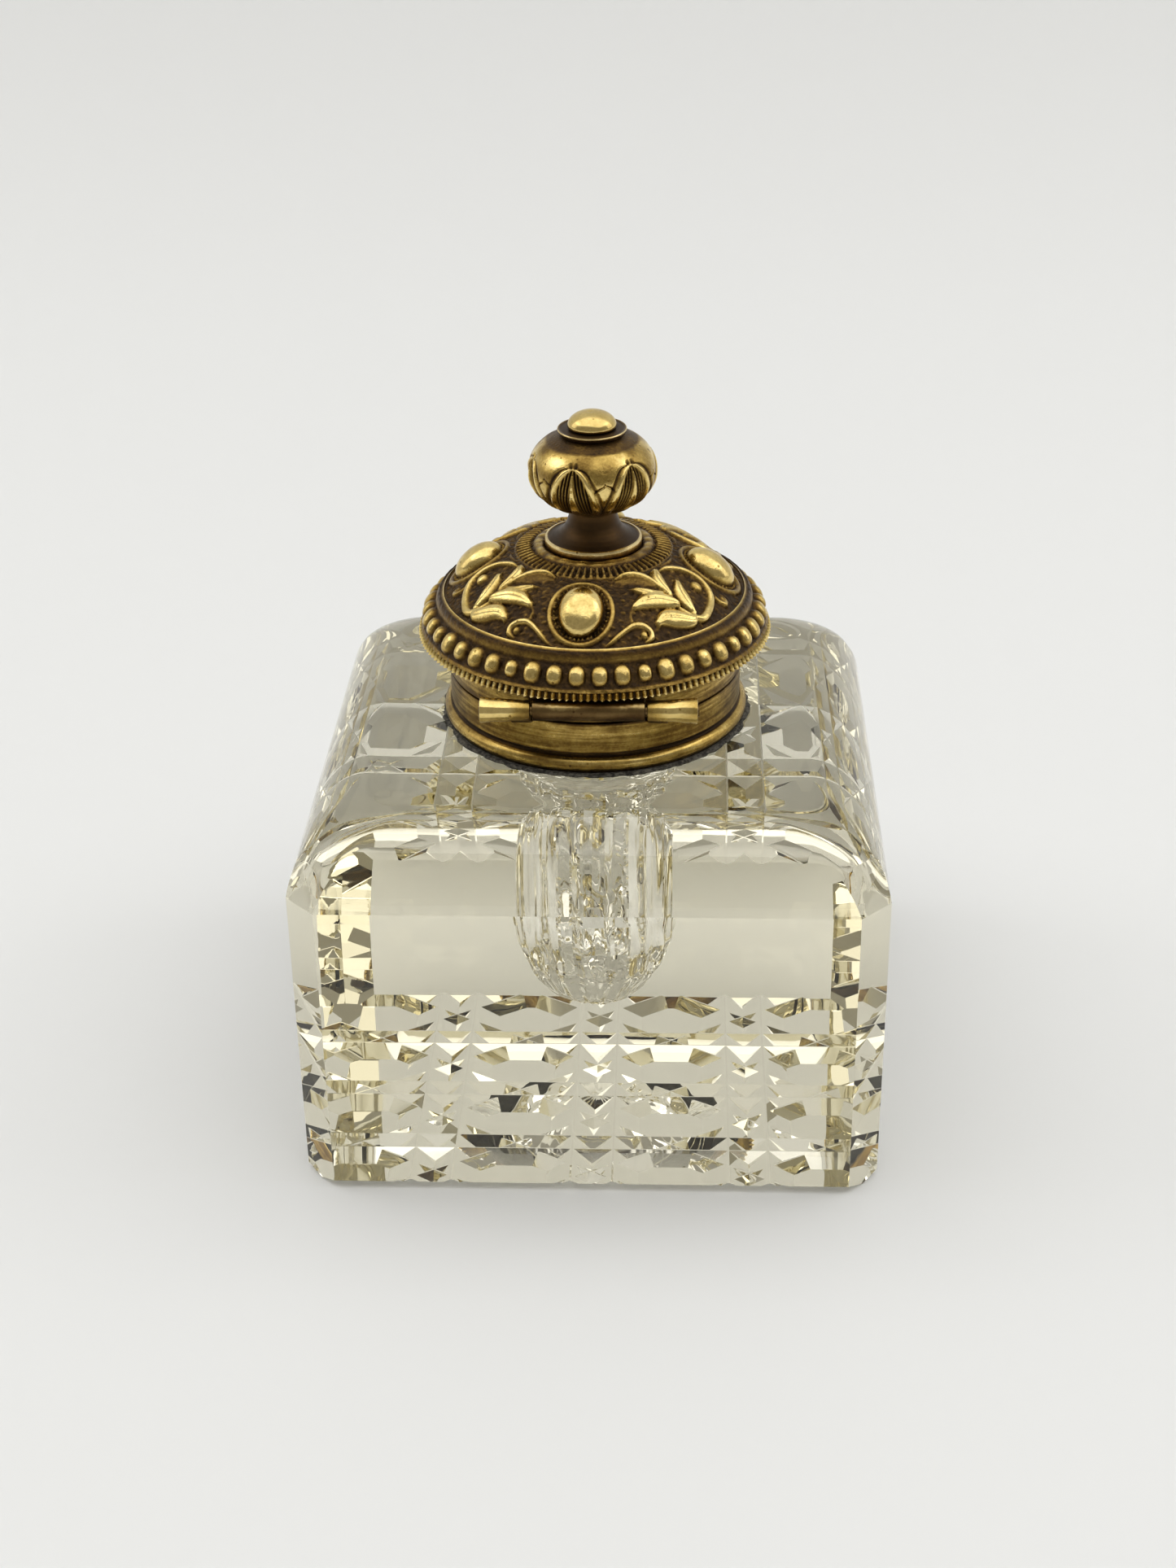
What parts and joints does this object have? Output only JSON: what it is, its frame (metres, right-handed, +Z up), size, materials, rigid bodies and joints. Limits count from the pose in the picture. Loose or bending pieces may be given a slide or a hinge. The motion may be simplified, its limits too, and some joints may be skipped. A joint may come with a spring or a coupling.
{
  "type": "inkwell",
  "caption": "Square cut-glass inkwell with rounded shoulders, cane-cut base, round well, brass collar and a hinged embossed brass lid with a turned knob.",
  "frame": {"origin": "centre of the block's footprint, on the plane its base lands stand on", "axes": "+Z up through the well and the knob; the hinge is on the -Y side with its line along X; +X to the right of someone facing the hinge"},
  "size_m": [0.075, 0.075, 0.0936],
  "materials": {
    "glass": "polished, faint olive-grey tint",
    "plaster": "matt, dirty",
    "brass_chased": "embossed, polished highs with dark brown patina in the ground",
    "brass_plain": "brushed, worn",
    "brass_dark": "dark brown patina",
    "brass_bright": "worn bright"
  },
  "bodies": {
    "root": {"glass_block": "glass", "cement_ring": "plaster", "collar_base_ring": "brass_plain", "collar_band": "brass_plain", "hinge_knuckle_left": "brass_bright", "hinge_knuckle_right": "brass_bright", "hinge_pin": "brass_dark"},
    "lid": {"lid_dome": "brass_chased", "lid_rim_ring": "brass_plain", "hinge_knuckle_centre": "brass_dark", "knob_foot": "brass_dark", "knob_bun": "brass_chased", "knob_disc": "brass_plain", "knob_button": "brass_bright", "knob_stud": "brass_dark", "knob_washer": "brass_plain", "knob_nut": "brass_dark"}
  },
  "joints": [
    {"name": "lid_hinge", "type": "hinge", "parent": "root", "child": "lid", "pos_m": [0, -0.0213, 0.062], "axis": [1, 0, 0], "range_deg": [0, 105]}
  ]
}
